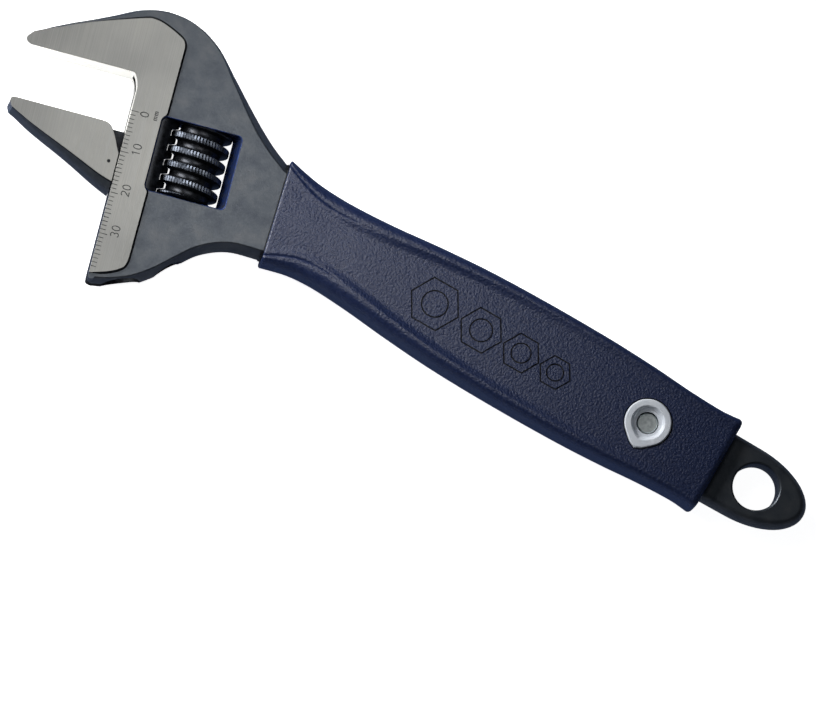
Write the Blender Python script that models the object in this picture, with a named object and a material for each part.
"""Adjustable wrench with wide-opening jaws, a left-hand worm and a moulded grip sleeve.

Run with: blender --background --python part.py

The part lies flat. +X runs along the handle from the jaws to the hanging eye, +Z is up through the
thickness, and z = 0 is the middle plane. The origin is the middle of the fixed jaw's working face.
The jaws, the slide and the worm are drawn in the jaw frame, which is turned by JAW_TILT about Z:
there `along` points from the jaws to the handle and `up` points from the movable jaw to the fixed jaw.
"""

import math

import bmesh
import bpy
from mathutils import Matrix, Vector

MM = 0.001

# ---- Driving dimensions, in millimetres and degrees -------------------------------------------------
JAW_TILT = math.radians(15)  # the jaws' faces against the handle's axis

JAW_FLAT = 25.0  # length of the fixed jaw's working face
JAW_NOSE = 1.4  # what the rounded nose adds beyond the flat
THROAT_STEP = 1.7  # from the throat's corner to the guide face
THROAT_DROP = 3.6  # height of the throat's fillet
OPENING = 13.0  # between the jaws as modelled
HEAD_LENGTH = 51.0  # from the fixed jaw's face to the lower end of the guide face
HEAD_CROWN = 16.8  # from the fixed jaw's face to the top of the head

RAIL_RADIUS = 4.5
RAIL_SETBACK = 7.7  # from the guide face to the rail's axis
SLIDE_CLEARANCE = 0.15  # between the rail and its bore, all round
BORE_WALL = 1.65  # steel over the slide bore
WEB_HALF = 2.0  # half the thickness of the web that joins the movable jaw to its rail
WEB_CLEARANCE = 0.25
JAW_ROOT = 16.2  # height of the movable jaw where it meets the guide face
GUIDE_GAP = 0.3  # from the movable jaw to the guide face

WORM_PITCH = 3.6
WORM_RADIUS = 7.2
THREAD_DEPTH = 1.8
THREAD_CREST = 1.2  # width of the knurled crest
THREAD_FLANK = 0.4  # how much wider each flank makes the thread at its root
THREAD_START = -0.8  # from the worm's middle to the middle of the crest that faces the rail
WORM_LENGTH = 17.0
WORM_MIDDLE = 17.2  # from the fixed jaw's face down to the middle of the worm
WORM_END_GAP = 0.4  # between the worm and each end of its window
WORM_SIDE_GAP = 1.85  # between the worm and the window's wall on the handle side
MESH_GAP = 0.35  # from a tooth's tip to the root that it faces
FLANK_GAP = 0.2

PIN_RADIUS = 2.0
PIN_GAP = 0.2  # all round, in the worm and in the body
PIN_SCREW_RADIUS = 2.6
PIN_SEAT = 5.5  # how far the pin's plain end enters the head above the window
PIN_RECESS = 10.5  # from the head's lower end up to the pin's slotted end
PIN_SLOT_WIDTH = 0.9
PIN_SLOT_DEPTH = 1.0

SPRING_WIRE = 0.35  # wire radius
SPRING_TURNS = 4
SPRING_POCKET = 5.0  # depth of the counterbore in the worm

PAD_WIDTH = 8.5  # of the ground pad, from the guide face to its long edge
PAD_NOTCH = 1.0  # how far that edge steps back beside the window
STEP_LEDGE = 0.3  # between the pad's edge and the window
BODY_HALF = 5.5  # half the thickness of the blackened head
SHANK_HALF = 4.6  # half the thickness of the shank and the eye

GRIP_START = 56.8  # from the origin along X, where the sleeve's lip meets the head
GRIP_LENGTH = 120.6
GRIP_WIDTH = 26.5  # at its widest
GRIP_THICKNESS = 15.8  # at its thickest
LIP_PROUD = 1.2  # how far the sleeve's lip stands out from the sides of the neck
SLEEVE_WALL = 1.1  # of the soft sleeve, beside the liner
LINER_WALL = 0.7
GRIP_EDGE = 3.6  # radius of the sleeve's long edges
GRIP_SLANT = 0.225  # slope of the sleeve's front edge, nearly square to the jaws
SLANT_FADE = 30.0  # length over which that slope fades out
LIP_ROUND = 0.9  # rounding of the sleeve's two ends
HANDLE_DROP = 8.5  # from the origin down to the handle's axis
SHANK_STATIONS = 14  # chords along the shank and along the liner
SHANK_CORNER = 1.0  # bevel along the inside of the liner, for the shank's drawn-in edges
FIT_GAP = 0.3  # between pieces that touch on the real object

EYE_WIDTH = 17.8
EYE_TIP = 23.4  # from the end of the sleeve to the end of the tool
EYE_HOLE = 10.1  # from the end of the sleeve to the hole's centre
EYE_HOLE_RADIUS = 5.5
EYE_ROUND = 16.6  # length of the eye's rounded end

RIVET_FROM_END = 19.6  # from the end of the sleeve to the rivet
RIVET_RADIUS = 1.7
RIVET_HEAD_RADIUS = 2.4
RIVET_HEAD = 0.5  # height of each head
BEZEL_RADIUS = 5.6
BEZEL_POINT = 6.9  # from the bezel's centre to the tip of its drop
BEZEL_CORNER = 1.0  # from that tip to where the drop's two straight sides would meet
BEZEL_BLUNT = 2.0  # length of each side that the tip's curve takes up
BEZEL_PROUD = 0.2
BEZEL_DISH = 0.9  # depth of the dish around the rivet's head
BEZEL_DISH_WIDTH = 1.9

# The head's lower edge, as shares of the way from its lower end to the neck, along and up.
BELLY = (
    (0.0, 0.0), (0.11, 0.036), (0.247, 0.14), (0.374, 0.32), (0.495, 0.562), (0.62, 0.8), (0.79, 0.965),
    (1.0, 1.0),
)
# Half width of the sleeve, as (share of its length, share of its greatest half width).
GRIP_WIDTHS = (
    (0.0, 0.95), (0.03, 0.885), (0.065, 0.82), (0.105, 0.788), (0.15, 0.785), (0.22, 0.82),
    (0.31, 0.9), (0.42, 0.972), (0.55, 1.0), (0.7, 0.99), (0.8, 0.95), (0.88, 0.9),
    (0.94, 0.886), (1.0, 0.902),
)
# Half thickness of the sleeve, as (share of its length, share of its greatest half thickness).
GRIP_DEPTHS = (
    (0.0, 0.86), (0.05, 0.85), (0.1, 0.87), (0.16, 0.95), (0.22, 0.985), (0.4, 1.0), (0.7, 1.0), (0.88, 0.97),
    (1.0, 0.91),
)

# Section of a forged edge, as (height above the middle plane, how far the edge has drawn in there).
FORGED_EDGE = ((0.0, 0.0), (3.4, 0.3), (5.0, 0.9))
PAD_DRAW = 2.3  # how far the forged edge has drawn in at the ground pad

# ---- Sizes that follow from them -------------------------------------------------------------------
THROAT = JAW_FLAT / 2  # `along` of the throat's corner
GUIDE = THROAT + THROAT_STEP  # `along` of the guide face
PAD_HALF = RAIL_RADIUS + SLIDE_CLEARANCE + BORE_WALL  # half the thickness of the ground pads
PAD_EDGE = GUIDE + PAD_WIDTH  # `along` of the ground pad's long edge
WORM_ROOT = WORM_RADIUS - THREAD_DEPTH
BORE_AXIS = GUIDE + RAIL_SETBACK  # `along` of the rail
WORM_AXIS = BORE_AXIS + RAIL_RADIUS + MESH_GAP + WORM_ROOT
WINDOW_TOP = -WORM_MIDDLE + WORM_LENGTH / 2 + WORM_END_GAP
WINDOW_FOOT = -WORM_MIDDLE - WORM_LENGTH / 2 - WORM_END_GAP
WINDOW_NEAR = PAD_EDGE - PAD_NOTCH + STEP_LEDGE  # the window's wall over the rail
WINDOW_FAR = WORM_AXIS + WORM_RADIUS + WORM_SIDE_GAP
RAIL_ABOVE = HEAD_CROWN  # the rail's top is flush with the crown when the jaws are shut
RAIL_BELOW = JAW_ROOT + 0.8
GRIP_END = GRIP_START + GRIP_LENGTH
RIVET_AT = GRIP_END - RIVET_FROM_END
LINER_HALF = SHANK_HALF + FIT_GAP + LINER_WALL  # half the liner's thickness
SHANK_INSET = SLEEVE_WALL + LINER_WALL + 2 * FIT_GAP  # from the sleeve's surface to the shank

FLATNESS = 0.0001  # how far the corners of one face may lie out of its plane
SMOOTH_ANGLE = math.radians(32)


# ---- Materials ------------------------------------------------------------------------------------
def material(name, colour, roughness, metallic):
    made = bpy.data.materials.new(name)
    made.use_nodes = True
    shader = made.node_tree.nodes["Principled BSDF"]
    shader.inputs["Base Color"].default_value = (*colour, 1.0)
    shader.inputs["Roughness"].default_value = roughness
    shader.inputs["Metallic"].default_value = metallic
    made.diffuse_color = (*colour, 1.0)
    return made


# ---- Curves in the plane --------------------------------------------------------------------------
def smooth_curve(points, steps=4):
    """A Catmull-Rom curve through the points, with `steps` chords for each span."""
    ends = [2 * Vector(points[0]) - Vector(points[1])]
    knots = ends + [Vector(p) for p in points] + [2 * Vector(points[-1]) - Vector(points[-2])]
    curve = []
    for a, b, c, d in zip(knots, knots[1:], knots[2:], knots[3:]):
        for step in range(steps):
            t = step / steps
            curve.append(0.5 * (2 * b + (c - a) * t + (2 * a - 5 * b + 4 * c - d) * t**2
                                + (3 * b - a - 3 * c + d) * t**3))
    curve.append(Vector(points[-1]))
    return curve


def bend(start, corner, end, steps=5):
    """A quadratic curve from start to end that leaves and arrives towards the corner."""
    a, b, c = Vector(start), Vector(corner), Vector(end)
    shares = [step / steps for step in range(steps + 1)]
    return [(1 - t) ** 2 * a + 2 * t * (1 - t) * b + t * t * c for t in shares]


def along_table(table, share):
    """The smooth value that a table of (share, value) has at a share of its length."""
    shares = [row[0] for row in table]
    values = [row[1] for row in table]
    slopes = []
    for i in range(len(table)):
        low, high = max(i - 1, 0), min(i + 1, len(table) - 1)
        slopes.append((values[high] - values[low]) / (shares[high] - shares[low]))
    share = min(max(share, shares[0]), shares[-1])
    i = max(k for k in range(len(table) - 1) if shares[k] <= share)
    width = shares[i + 1] - shares[i]
    t = (share - shares[i]) / width
    return ((2 * t**3 - 3 * t**2 + 1) * values[i] + (t**3 - 2 * t**2 + t) * width * slopes[i]
            + (3 * t**2 - 2 * t**3) * values[i + 1] + (t**3 - t**2) * width * slopes[i + 1])


def from_jaw(along, up):
    """A point of the jaw frame, in the part's own frame."""
    return Matrix.Rotation(JAW_TILT, 2) @ Vector((along, up))


def from_handle(station, across):
    """A point of the handle: a station along X, and an offset from the handle's axis."""
    fade = min(max((station - GRIP_START) / SLANT_FADE, 0.0), 1.0)
    slope = GRIP_SLANT * (1 - fade * fade * (3 - 2 * fade))
    return Vector((station - slope * across, across - HANDLE_DROP))


def grip_half_width(station):
    return GRIP_WIDTH / 2 * along_table(GRIP_WIDTHS, (station - GRIP_START) / GRIP_LENGTH)


def grip_half_depth(station):
    return GRIP_THICKNESS / 2 * along_table(GRIP_DEPTHS, (station - GRIP_START) / GRIP_LENGTH)


def shank_half_width(station):
    return grip_half_width(station) - SHANK_INSET


def shank_stations():
    return [GRIP_START + GRIP_LENGTH * i / SHANK_STATIONS for i in range(SHANK_STATIONS + 1)]


# ---- Solids ---------------------------------------------------------------------------------------
def new_object(name, bm, parent=None, finish=None):
    """An object made from a bmesh in millimetres, shaded smooth with its edges sharp."""
    bmesh.ops.recalc_face_normals(bm, faces=bm.faces)
    bmesh.ops.scale(bm, vec=(MM, MM, MM), verts=bm.verts)
    mesh = bpy.data.meshes.new(name)
    bm.to_mesh(mesh)
    bm.free()
    mesh.shade_smooth()
    mesh.set_sharp_from_angle(angle=SMOOTH_ANGLE)
    obj = bpy.data.objects.new(name, mesh)
    bpy.context.scene.collection.objects.link(obj)
    obj.parent = parent
    if finish:
        mesh.materials.append(finish)
    return obj


def frame_empty(name, place=(0, 0, 0), turn=0.0):
    empty = bpy.data.objects.new(name, None)
    bpy.context.scene.collection.objects.link(empty)
    empty.location = Vector(place) * MM
    empty.rotation_euler.z = turn
    return empty


def quad(bm, a, b, c, d):
    """One face between four points where they are flat, and two triangles where they aren't."""
    normal = (b.co - a.co).cross(c.co - a.co)
    if abs(normal.dot(d.co - a.co)) < FLATNESS * normal.length:
        bm.faces.new((a, b, c, d))
    else:
        bm.faces.new((a, b, c))
        bm.faces.new((a, c, d))


def skin(bm, rings):
    """Faces between rings of the same count, and a cap on each end."""
    count = len(rings[0])
    for low, high in zip(rings, rings[1:]):
        for i in range(count):
            j = (i + 1) % count
            quad(bm, low[i], low[j], high[j], high[i])
    bm.faces.new(list(reversed(rings[0])))
    bm.faces.new(rings[-1])


def loft(layers):
    """A bmesh through layers of 3-D points."""
    bm = bmesh.new()
    skin(bm, [[bm.verts.new(p) for p in layer] for layer in layers])
    return bm


def prism(outline, low, high):
    """A bmesh with straight walls: a plane outline from z = low to z = high."""
    return loft([[(x, y, z) for x, y in outline] for z in (low, high)])


def box(low, high):
    (x0, y0, z0), (x1, y1, z1) = low, high
    return prism(((x0, y0), (x1, y0), (x1, y1), (x0, y1)), z0, z1)


def turned(profile, segments=40):
    """A solid of revolution about the local Z axis, from (radius, height) pairs, bottom to top."""
    layers = []
    for radius, height in profile:
        angles = [2 * math.pi * i / segments for i in range(segments)]
        layers.append([(radius * math.cos(a), radius * math.sin(a), height) for a in angles])
    return loft(layers)


def modify(target, other, operation):
    """A Boolean modifier that leaves its helper out of the render."""
    modifier = target.modifiers.new(other.name, "BOOLEAN")
    modifier.object = other
    modifier.operation = operation
    modifier.solver = "EXACT"
    other.hide_render = True
    other.display_type = "WIRE"


def cut(target, *cutters):
    for cutter in cutters:
        modify(target, cutter, "DIFFERENCE")


def both_faces(name, maker):
    """A helper above the middle plane and its twin below it."""
    return [new_object(f"{name}_{label}", maker(side)) for side, label in ((1, "upper"), (-1, "lower"))]


def drawn_in(outline, shares, distance):
    """The outline moved inwards by distance times each point's own share."""
    moved = []
    count = len(outline)
    for i, point in enumerate(outline):
        before = (point - outline[i - 1]).normalized()
        after = (outline[(i + 1) % count] - point).normalized()
        way = before + after
        inward = Vector((-way.y, way.x)).normalized()
        moved.append(point + inward * distance * shares[i])
    return moved


def forging(outline, shares):
    """A plate with drafted, rounded forged edges wherever a point's share isn't 0."""
    section = [*FORGED_EDGE, (PAD_HALF, PAD_DRAW)]
    levels = [(-z, draw) for z, draw in reversed(section)] + section[1:]
    layers = []
    for z, draw in levels:
        layers.append([(p.x, p.y, z) for p in drawn_in(outline, shares, draw)])
    return loft(layers)


# ---- The forged body ------------------------------------------------------------------------------
def body_outline():
    """The body seen from above, anticlockwise, as points and how far each edge point is forged (0 to 1)."""
    tip = THROAT - JAW_FLAT
    nose = smooth_curve([(tip - 0.1, 3.2), (tip - JAW_NOSE, 1.5), (tip - 0.9, 0.45), (tip, 0.0)], 3)
    throat = bend((THROAT, 0), (THROAT + 0.65 * THROAT_STEP, -0.15 * THROAT_DROP), (GUIDE, -THROAT_DROP))
    foot = bend((GUIDE, 1.0 - HEAD_LENGTH), (GUIDE, -HEAD_LENGTH), (GUIDE + 1.6, -HEAD_LENGTH - 0.1), 3)
    neck = grip_half_width(GRIP_START) - LIP_PROUD
    lower_neck = Matrix.Rotation(-JAW_TILT, 2) @ from_handle(GRIP_START, -neck)
    upper_neck = Matrix.Rotation(-JAW_TILT, 2) @ from_handle(GRIP_START, neck)
    run, rise = lower_neck.x - foot[-1][0], lower_neck.y - foot[-1][1]
    belly = smooth_curve([(foot[-1][0] + run * x, foot[-1][1] + rise * y) for x, y in BELLY], 3)
    crown = smooth_curve(
        [upper_neck, (THROAT + 36.0, -7.3), (THROAT + 30.0, -1.3), (THROAT + 24.0, 5.3),
         (THROAT + 18.0, 0.7 * HEAD_CROWN), (THROAT + 11.5, 0.936 * HEAD_CROWN), (THROAT + 5.0, HEAD_CROWN),
         (THROAT - 1.5, 0.928 * HEAD_CROWN), (THROAT - 8.0, 0.738 * HEAD_CROWN)], 4)

    stations = shank_stations()
    lower_shank = [from_handle(s, -shank_half_width(s)) for s in stations]
    upper_shank = [from_handle(s, shank_half_width(s)) for s in reversed(stations)]
    round_start = GRIP_END + EYE_TIP - EYE_ROUND
    turns = [math.radians(-90 + 180 * i / 20) for i in range(21)]
    eye = [from_handle(round_start + EYE_ROUND * math.cos(a), EYE_WIDTH / 2 * math.sin(a)) for a in turns]

    stretches = [
        (nose[1:-1], 0.25), ([nose[-1]], 0.0), (throat, 0.0), (foot, 0.0), (belly[1:], 1.0),
    ]
    points, shares = [], []
    for stretch, share in stretches:
        points += [from_jaw(*p) for p in stretch]
        shares += [share] * len(stretch)
    for p in lower_shank + eye + upper_shank:
        points.append(p)
        shares.append(1.0)
    for p in crown:
        points.append(from_jaw(*p))
        shares.append(1.0)
    points.append(from_jaw(*nose[0]))
    shares.append(0.25)
    first_belly = len(nose) - 1 + len(throat) + len(foot)
    for step, share in enumerate((0.25, 0.5, 0.75)):  # the forged edge grows out of the machined one
        shares[first_belly + step] = share
    return points, shares


def pad_relief(side):
    """What is forged lower than the ground pad: all of the head behind the pad's edge."""
    notch_top, notch_foot, notch = WINDOW_TOP + 0.3, WINDOW_FOOT - 0.3, PAD_EDGE - PAD_NOTCH
    edge = [
        (THROAT + 1.0, HEAD_CROWN + 9), (THROAT + 2.2, 0.81 * HEAD_CROWN), (THROAT + 5.2, 0.767 * HEAD_CROWN),
        (PAD_EDGE - 1.0, 0.644 * HEAD_CROWN), (PAD_EDGE, 0.549 * HEAD_CROWN), (PAD_EDGE, notch_top),
        (notch, notch_top - 1.4), (notch, notch_foot + 1.4), (PAD_EDGE, notch_foot),
        (PAD_EDGE, 6.5 - HEAD_LENGTH), (PAD_EDGE - 1.2, 5.2 - HEAD_LENGTH), (GUIDE, 2.1 - HEAD_LENGTH),
        (GUIDE - 9, -1.5 - HEAD_LENGTH), (GUIDE - 9, -20 - HEAD_LENGTH), (GUIDE + 70, -20 - HEAD_LENGTH),
        (GUIDE + 70, HEAD_CROWN + 9),
    ]
    return prism([from_jaw(*p) for p in edge], side * BODY_HALF, side * (PAD_HALF + 2))


def shank_relief(side):
    """The shank and the eye are forged thinner than the head; the step lies under the sleeve's lip."""
    reach = GRIP_WIDTH
    front = GRIP_START - FIT_GAP / 2
    outline = [from_handle(front, -reach), (GRIP_END + EYE_TIP + 9, -reach - HANDLE_DROP),
               (GRIP_END + EYE_TIP + 9, reach - HANDLE_DROP), from_handle(front, reach)]
    return prism(outline, side * SHANK_HALF, side * (PAD_HALF + 2))


def upright(obj, along, up):
    """Stands a turned piece's axis along the jaw frame's `up`, with its middle at (along, up)."""
    obj.location = Vector((along, up, 0)) * MM
    obj.rotation_euler.x = -math.pi / 2
    return obj


def cylinder(radius, low, high, segments=40):
    return turned([(radius, low), (radius, high)], segments)


def rivet_hole(name, handle_frame):
    hole = new_object(name, cylinder(RIVET_RADIUS + FIT_GAP, -PAD_HALF - 2, PAD_HALF + 2, 32), handle_frame)
    hole.location.x = RIVET_AT * MM
    return hole


def make_body(jaw_frame, handle_frame, steel):
    outline, shares = body_outline()
    body = new_object("body", forging(outline, shares), finish=steel)
    cut(body, *both_faces("pad_relief", pad_relief), *both_faces("shank_relief", shank_relief))

    bore = upright(new_object("bore_cutter", cylinder(
        RAIL_RADIUS + SLIDE_CLEARANCE, -HEAD_LENGTH - 9, HEAD_CROWN + 9, 48), jaw_frame), BORE_AXIS, 0)
    slit = WEB_HALF + WEB_CLEARANCE
    slot = new_object("slit_cutter", box(
        (GUIDE - 6, -HEAD_LENGTH - 9, -slit), (BORE_AXIS, -WEB_CLEARANCE, slit)), jaw_frame)
    window = new_object("window_cutter", box(
        (WINDOW_NEAR, WINDOW_FOOT, -PAD_HALF - 2), (WINDOW_FAR, WINDOW_TOP, PAD_HALF + 2)), jaw_frame)
    cut(body, bore, slot, window)
    plain, screw = PIN_RADIUS + PIN_GAP, PIN_SCREW_RADIUS + PIN_GAP
    shoulder = pin_shoulder() + PIN_GAP
    pin_hole = turned([(screw, -HEAD_LENGTH - 9), (screw, shoulder), (plain, shoulder),
                       (plain, WINDOW_TOP + PIN_SEAT + PIN_GAP)], 32)
    cut(body, upright(new_object("pin_cutter", pin_hole, jaw_frame), WORM_AXIS, 0))

    eye = new_object("eye_cutter", cylinder(EYE_HOLE_RADIUS, -PAD_HALF - 2, PAD_HALF + 2, 56), handle_frame)
    eye.location.x = (GRIP_END + EYE_HOLE) * MM
    cut(body, eye, rivet_hole("shank_rivet_hole", handle_frame))
    return body


# ---- The movable jaw ------------------------------------------------------------------------------
def jaw_outline():
    """The movable jaw's blade, anticlockwise; `up` = 0 is its working face."""
    tip = THROAT - JAW_FLAT - JAW_NOSE
    root = GUIDE - GUIDE_GAP
    nose = smooth_curve([(tip + 0.9, -2.7), (tip, -0.9), (tip + 0.1, -0.3), (tip + 0.7, 0.0)], 3)
    shoulder = smooth_curve(
        [(root, -6.7), (THROAT - 1.2, -1.5), (THROAT - 2.1, -0.5), (THROAT - 3.2, -0.1),
         (THROAT - 4.6, 0.0)], 3)
    foot = smooth_curve(
        [(tip + 0.9, -2.7), (THROAT - 20.0, -5.9), (THROAT - 10.0, -0.66 * JAW_ROOT),
         (THROAT - 3.0, -0.89 * JAW_ROOT), (root, -JAW_ROOT)], 4)
    points = foot + shoulder + list(reversed(nose))[:-1]
    shares = [0.3 + 1.25 * step / (len(foot) - 1) for step in range(len(foot))]
    shares += [0.0] * (len(shoulder) + 1) + [0.15] * (len(nose) - 2)
    return [Vector(p) for p in points], shares


def groove_cutters():
    """The gaps between the rack's teeth: slanted by the worm's lead, a flank gap wider than its thread."""
    bm = bmesh.new()
    slope = WORM_PITCH / (2 * math.pi * (WORM_ROOT + THREAD_DEPTH / 2))
    flank = THREAD_FLANK / THREAD_DEPTH
    bottom, mouth = WORM_AXIS - WORM_RADIUS - MESH_GAP, BORE_AXIS + RAIL_RADIUS + 1.0
    first = OPENING - WORM_MIDDLE + THREAD_START
    lowest = math.floor((RAIL_BELOW + first) / WORM_PITCH) + 1
    highest = math.floor((RAIL_ABOVE - first) / WORM_PITCH) + 1
    for turn in range(-lowest, highest + 1):
        middle = first + turn * WORM_PITCH
        section = []
        for along, side in ((bottom, -1), (mouth, -1), (mouth, 1), (bottom, 1)):
            half = THREAD_CREST / 2 + (along - (WORM_AXIS - WORM_RADIUS)) * flank + FLANK_GAP
            section.append((along, middle + side * half))
        rings = []
        for z in (-RAIL_RADIUS - 1, RAIL_RADIUS + 1):
            rings.append([bm.verts.new((x, y - slope * z, z)) for x, y in section])
        skin(bm, rings)
    return bm


def make_movable_jaw(jaw_frame, steel):
    outline, shares = jaw_outline()
    jaw = new_object("movable_jaw", forging(outline, shares), jaw_frame, steel)
    rail = new_object("rail", turned(
        [(RAIL_RADIUS - 0.6, -RAIL_BELOW), (RAIL_RADIUS, 0.6 - RAIL_BELOW), (RAIL_RADIUS, RAIL_ABOVE - 0.6),
         (RAIL_RADIUS - 0.6, RAIL_ABOVE)], 48), jaw)
    upright(rail, BORE_AXIS, 0)
    grooves = new_object("rack_grooves", groove_cutters(), jaw)
    cut(rail, grooves)
    web_foot = 1.0 - JAW_ROOT
    web = new_object("web", box(
        (GUIDE - 3.0, web_foot, -WEB_HALF), (BORE_AXIS - 1.0, -0.9, WEB_HALF)), jaw)
    modify(jaw, web, "UNION")
    modify(jaw, rail, "UNION")
    jaw.location.y = -OPENING * MM
    return jaw


# ---- The worm, its pin and its spring -------------------------------------------------------------
def threaded_barrel(radius, depth, crest, flank, pitch, length, start, segments=44):
    """A left-hand thread about the local Z axis, longer than `length`, so that its ends can be cut square.

    Each column of points is one thread profile; going once round, the profile drops by one pitch.
    A crest lies at height `start` on the side that faces -X.
    """
    profile = ((-crest / 2, radius), (crest / 2, radius), (crest / 2 + flank, radius - depth),
               (pitch - crest / 2 - flank, radius - depth))
    turns = math.ceil(length / pitch) + 3
    bm = bmesh.new()
    columns = []
    for i in range(segments):
        angle = 2 * math.pi * i / segments
        drop = pitch * (angle - math.pi) / (2 * math.pi) - start
        column = []
        for turn in range(-(turns // 2), turns - turns // 2):
            for offset, r in profile:
                height = turn * pitch + offset - drop
                column.append(bm.verts.new((r * math.cos(angle), r * math.sin(angle), height)))
        columns.append(column)
    rows, shift = len(columns[0]), len(profile)
    for i in range(segments - 1):
        for k in range(rows - 1):
            here, there = columns[i], columns[i + 1]
            quad(bm, here[k], there[k], there[k + 1], here[k + 1])
    last, first = columns[-1], columns[0]
    for k in range(rows - 1 - shift):  # the last column joins the first one turn further down
        quad(bm, last[k + shift], first[k], first[k + 1], last[k + shift + 1])
    top_rim = [column[-1] for column in columns] + first[rows - 1 - shift:rows - 1]
    foot_rim = [column[0] for column in reversed(columns)] + list(reversed(last[1:shift + 1]))
    for rim in (top_rim, foot_rim):
        centre = bm.verts.new((0, 0, sum(v.co.z for v in rim) / len(rim)))
        for a, b in zip(rim, rim[1:] + rim[:1]):
            bm.faces.new((a, b, centre))
    return bm


def spring_pocket_radius():
    return WORM_ROOT - 1.1


def make_worm(jaw_frame, steel):
    barrel = threaded_barrel(
        WORM_RADIUS, THREAD_DEPTH, THREAD_CREST, THREAD_FLANK, WORM_PITCH, WORM_LENGTH, THREAD_START)
    worm = upright(new_object("worm", barrel, jaw_frame, steel), WORM_AXIS, -WORM_MIDDLE)
    half = WORM_LENGTH / 2
    rim, beyond = WORM_ROOT + 0.6, WORM_RADIUS + 1
    ends = turned([(rim, -half), (beyond, THREAD_DEPTH - half), (beyond, half - THREAD_DEPTH),
                   (rim, half)], 54)
    trim = upright(new_object("worm_trim", ends, jaw_frame), WORM_AXIS, -WORM_MIDDLE)
    modify(worm, trim, "INTERSECT")
    hole, pocket = PIN_RADIUS + PIN_GAP, spring_pocket_radius()
    hollow = turned([(pocket, -half - 2), (pocket, SPRING_POCKET - half), (hole, SPRING_POCKET - half),
                     (hole, half + 2)], 32)
    cut(worm, upright(new_object("worm_hollow", hollow, jaw_frame), WORM_AXIS, -WORM_MIDDLE))
    return worm


def pin_shoulder():
    """`up` of the step between the pin's screwed end and its plain part: half way to the window."""
    return (pin_foot() + WINDOW_FOOT) / 2


def pin_foot():
    """`up` of the pin's slotted end, just inside the head's lower edge."""
    return PIN_RECESS - HEAD_LENGTH


def make_worm_pin(jaw_frame, steel):
    foot, shoulder, top = pin_foot(), pin_shoulder(), WINDOW_TOP + PIN_SEAT
    profile = [(PIN_SCREW_RADIUS - 0.4, foot), (PIN_SCREW_RADIUS, foot + 0.4), (PIN_SCREW_RADIUS, shoulder),
               (PIN_RADIUS, shoulder), (PIN_RADIUS, top - 0.4), (PIN_RADIUS - 0.4, top)]
    pin = upright(new_object("worm_pin", turned(profile, 32), jaw_frame, steel), WORM_AXIS, 0)
    half = PIN_SLOT_WIDTH / 2
    slot = new_object("pin_slot", box(
        (WORM_AXIS - PIN_SCREW_RADIUS - 1, foot - 1, -half),
        (WORM_AXIS + PIN_SCREW_RADIUS + 1, foot + PIN_SLOT_DEPTH, half)), jaw_frame)
    cut(pin, slot)
    return pin


def make_worm_spring(jaw_frame, steel):
    """A coil in the worm's counterbore, from the window's lower wall to the pocket's floor."""
    inner, outer = PIN_RADIUS + PIN_GAP, spring_pocket_radius()
    mean = (inner + outer) / 2
    low = WINDOW_FOOT + FIT_GAP + SPRING_WIRE
    high = -WORM_MIDDLE - WORM_LENGTH / 2 + SPRING_POCKET - FIT_GAP - SPRING_WIRE
    steps, sides = 18 * SPRING_TURNS, 8
    rings = []
    for step in range(steps + 1):
        angle = 2 * math.pi * SPRING_TURNS * step / steps
        out = Vector((math.cos(angle), math.sin(angle), 0))
        middle = out * mean + Vector((0, 0, low + (high - low) * step / steps))
        ring = []
        for k in range(sides):
            turn = 2 * math.pi * k / sides
            ring.append(middle + SPRING_WIRE * (out * math.cos(turn) + Vector((0, 0, math.sin(turn)))))
        rings.append(ring)
    return upright(new_object("worm_spring", loft(rings), jaw_frame, steel), WORM_AXIS, 0)


# ---- The sleeve and its fixing --------------------------------------------------------------------
def sleeve_section(station, draw):
    """One ring of the sleeve: a rectangle with round corners, drawn in by `draw` at the two ends."""
    half_y, half_z = grip_half_width(station) - draw, grip_half_depth(station) - draw
    radius = GRIP_EDGE - draw
    ring = []
    for quarter, (sy, sz) in enumerate(((1, 1), (-1, 1), (-1, -1), (1, -1))):
        for step in range(6):
            angle = math.radians(90 * quarter + 18 * step)
            across = sy * (half_y - radius) + radius * math.cos(angle)
            height = sz * (half_z - radius) + radius * math.sin(angle)
            x, y = from_handle(station, across)
            ring.append((x, y + HANDLE_DROP, height))
    return ring


def sleeve_space(wall, reach):
    """A bar along the handle, `wall` larger all round than the shank's space, `reach` past both ends."""
    half = SHANK_HALF + FIT_GAP + wall
    bevel = SHANK_CORNER + (2 - math.sqrt(2)) * wall
    stations = [GRIP_START - reach] + shank_stations() + [GRIP_END + reach]
    layers = []
    for height, drawn in ((-half, bevel), (bevel - half, 0), (half - bevel, 0), (half, bevel)):
        lower = [(s, drawn - shank_half_width(s) - FIT_GAP - wall) for s in stations]
        upper = [(s, -across) for s, across in reversed(lower)]
        points = [from_handle(*p) for p in lower + upper]
        layers.append([(p.x, p.y + HANDLE_DROP, height) for p in points])
    return loft(layers)


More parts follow.
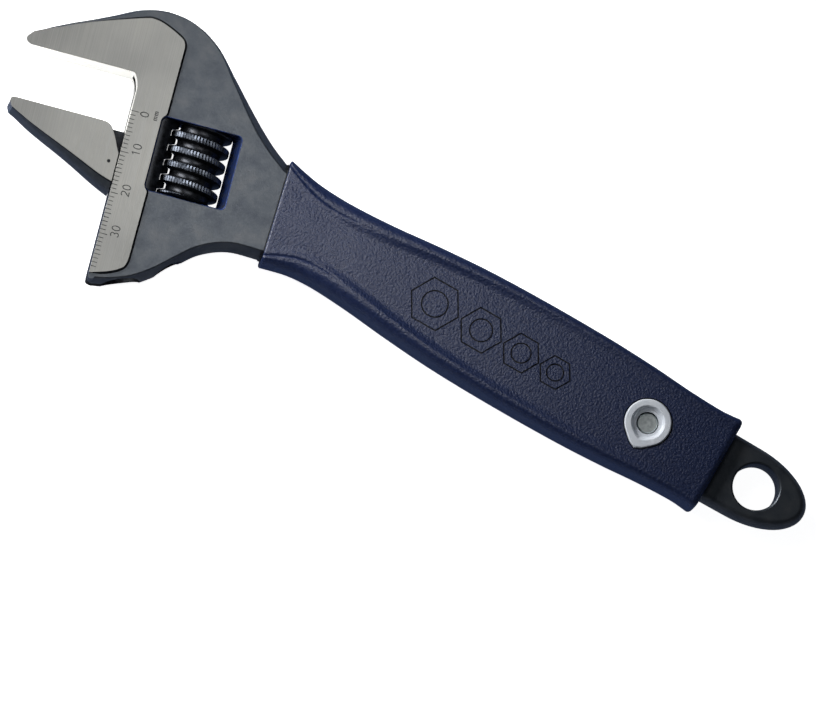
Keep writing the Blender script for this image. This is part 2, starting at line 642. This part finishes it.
def make_grip(handle_frame, rubber):
    ends = [(0.0, LIP_ROUND), (0.3 * LIP_ROUND, 0.3 * LIP_ROUND), (LIP_ROUND, 0.0)]
    front, length = GRIP_START + FIT_GAP, GRIP_LENGTH - FIT_GAP
    rings = [(front + inset, draw) for inset, draw in ends]
    for share in (0.03, 0.06, 0.1, 0.15, 0.2, 0.27, 0.35, 0.43, 0.52, 0.61, 0.7, 0.78, 0.85, 0.92, 0.97):
        rings.append((front + length * share, 0.0))
    rings += [(GRIP_END - inset, draw) for inset, draw in reversed(ends)]
    grip = new_object("grip", loft([sleeve_section(*ring) for ring in rings]), handle_frame, rubber)
    cut(grip, new_object("liner_space", sleeve_space(LINER_WALL + FIT_GAP, 6), handle_frame))
    seat = new_object("bezel_seats", prism(teardrop(FIT_GAP), -GRIP_THICKNESS, GRIP_THICKNESS), handle_frame)
    seat.location.x = RIVET_AT * MM
    cut(grip, seat)
    return grip


def make_liner(handle_frame, plastic):
    """The hard inner sleeve between the shank and the soft sleeve."""
    liner = new_object("grip_liner", sleeve_space(LINER_WALL, -FIT_GAP), handle_frame, plastic)
    shank_space = new_object("shank_space", sleeve_space(0, 6), handle_frame)
    cut(liner, shank_space, rivet_hole("liner_rivet_hole", handle_frame))
    return liner


def teardrop(margin=0.0):
    """The bezel's outline: a circle with one corner drawn out to the side, `margin` larger all round."""
    radius, corner = BEZEL_RADIUS + margin, Vector((0, -BEZEL_POINT - BEZEL_CORNER - margin))
    half_gap = math.acos(radius / corner.length)  # from the corner to where a side leaves
    start = half_gap - math.pi / 2
    sweep = 2 * (math.pi - half_gap)
    turns = [start + sweep * i / 30 for i in range(31)]
    arc = [Vector((radius * math.cos(a), radius * math.sin(a))) for a in turns]
    blunt = BEZEL_BLUNT / (arc[0] - corner).length
    return arc + bend(corner.lerp(arc[-1], blunt), corner, corner.lerp(arc[0], blunt), 4)


def make_bezel(name, side, handle_frame, plastic):
    """A teardrop bezel let into the sleeve, dished around the rivet's head."""
    top, low = grip_half_depth(RIVET_AT) + BEZEL_PROUD, LINER_HALF + FIT_GAP
    bezel = new_object(name, prism(teardrop(), side * low, side * top), handle_frame, plastic)
    bezel.location.x = RIVET_AT * MM
    hole = RIVET_HEAD_RADIUS + FIT_GAP
    steps = [(hole, low - 2), (hole, top - BEZEL_DISH), (hole + BEZEL_DISH_WIDTH, top),
             (hole + BEZEL_DISH_WIDTH, top + 2)]
    profile = [(radius, side * height) for radius, height in steps][::side]
    dish = new_object(name + "_dish", turned(profile, 40), handle_frame)
    dish.location.x = RIVET_AT * MM
    cut(bezel, dish)
    return bezel


def make_rivet(handle_frame, steel):
    seat = LINER_HALF + FIT_GAP
    upper = [(RIVET_RADIUS, seat), (RIVET_HEAD_RADIUS, seat), (RIVET_HEAD_RADIUS, seat + 0.6 * RIVET_HEAD),
             (RIVET_HEAD_RADIUS - 0.4 * RIVET_HEAD, seat + RIVET_HEAD)]
    lower = [(radius, -height) for radius, height in reversed(upper)]
    rivet = new_object("rivet", turned(lower + upper, 32), handle_frame, steel)
    rivet.location.x = RIVET_AT * MM
    return rivet


def main():
    for obj in list(bpy.data.objects):
        bpy.data.objects.remove(obj)
    blackened = material("blackened_steel", (0.09, 0.095, 0.11), 0.45, 0.9)
    ground = material("ground_steel", (0.55, 0.55, 0.53), 0.35, 1.0)
    bright = material("rivet_steel", (0.5, 0.5, 0.5), 0.4, 1.0)
    rubber = material("grip_rubber", (0.02, 0.025, 0.045), 0.7, 0.0)
    plastic = material("hard_plastic", (0.5, 0.53, 0.58), 0.5, 0.0)

    jaw_frame = frame_empty("jaw_frame", turn=JAW_TILT)
    handle_frame = frame_empty("handle_frame", place=(0, -HANDLE_DROP, 0))
    make_body(jaw_frame, handle_frame, blackened)
    make_movable_jaw(jaw_frame, ground)
    make_worm(jaw_frame, blackened)
    make_worm_pin(jaw_frame, blackened)
    make_worm_spring(jaw_frame, bright)
    make_grip(handle_frame, rubber)
    make_liner(handle_frame, plastic)
    make_bezel("bezel_front", 1, handle_frame, plastic)
    make_bezel("bezel_back", -1, handle_frame, plastic)
    make_rivet(handle_frame, bright)


main()
